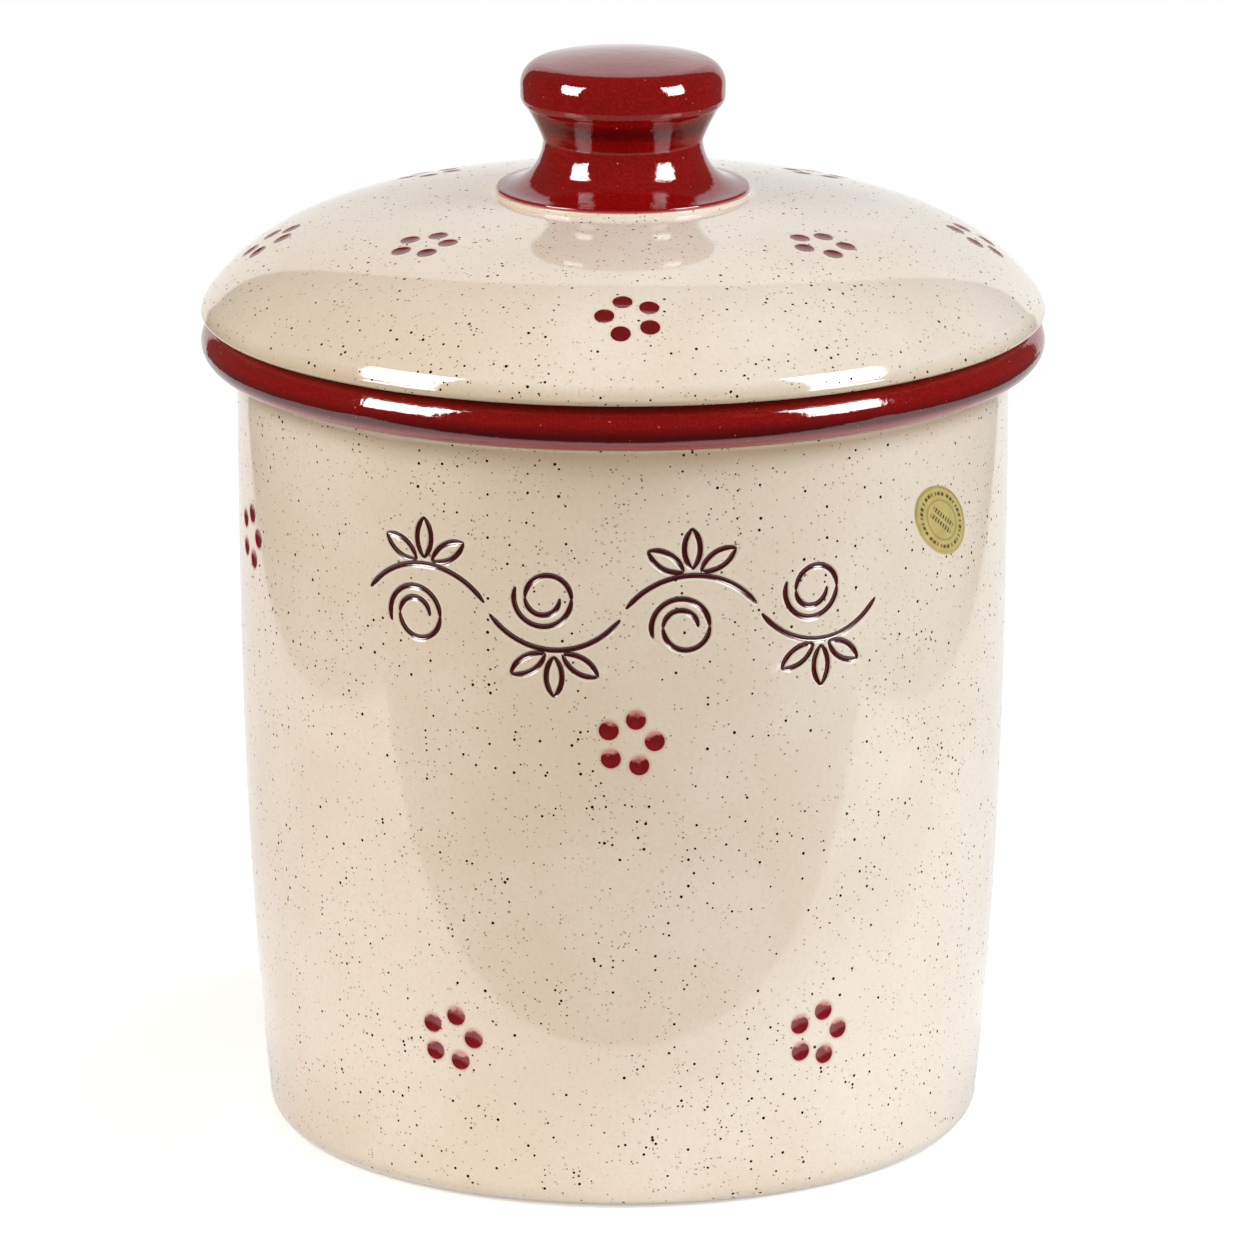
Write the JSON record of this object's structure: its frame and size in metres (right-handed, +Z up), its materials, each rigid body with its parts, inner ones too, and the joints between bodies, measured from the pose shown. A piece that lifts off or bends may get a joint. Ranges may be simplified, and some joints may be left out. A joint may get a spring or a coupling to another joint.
{
  "type": "rumtopf pot",
  "caption": "Cream speckled stoneware preserving crock with a red rolled rim and a domed lift-off lid with a hollow mushroom knob.",
  "frame": {"origin": "centre of the underside, on the plane that the foot ring stands on", "axes": "+Z up along the pot's axis of turning, -Y towards the decorated front"},
  "size_m": [0.216, 0.216, 0.2789],
  "materials": {
    "cream_glaze": "glossy, speckled",
    "red_glaze": "glossy",
    "dot_glaze": "glossy",
    "line_glaze": "glossy",
    "gold_foil": "metallic foil, satin"
  },
  "bodies": {
    "crock": {"crock_body": "cream_glaze", "rim_glaze": "red_glaze", "crock_dot_glaze": "dot_glaze", "scroll_glaze": "line_glaze", "foil_label": "gold_foil"},
    "lid": {"lid_shell": "cream_glaze", "lid_knob": "red_glaze", "lid_dot_glaze": "dot_glaze"}
  },
  "joints": [
    {"name": "lid_lift", "type": "slide", "parent": "crock", "child": "lid", "axis": [0, 0, 1], "range_m": [0, 0.12]}
  ]
}
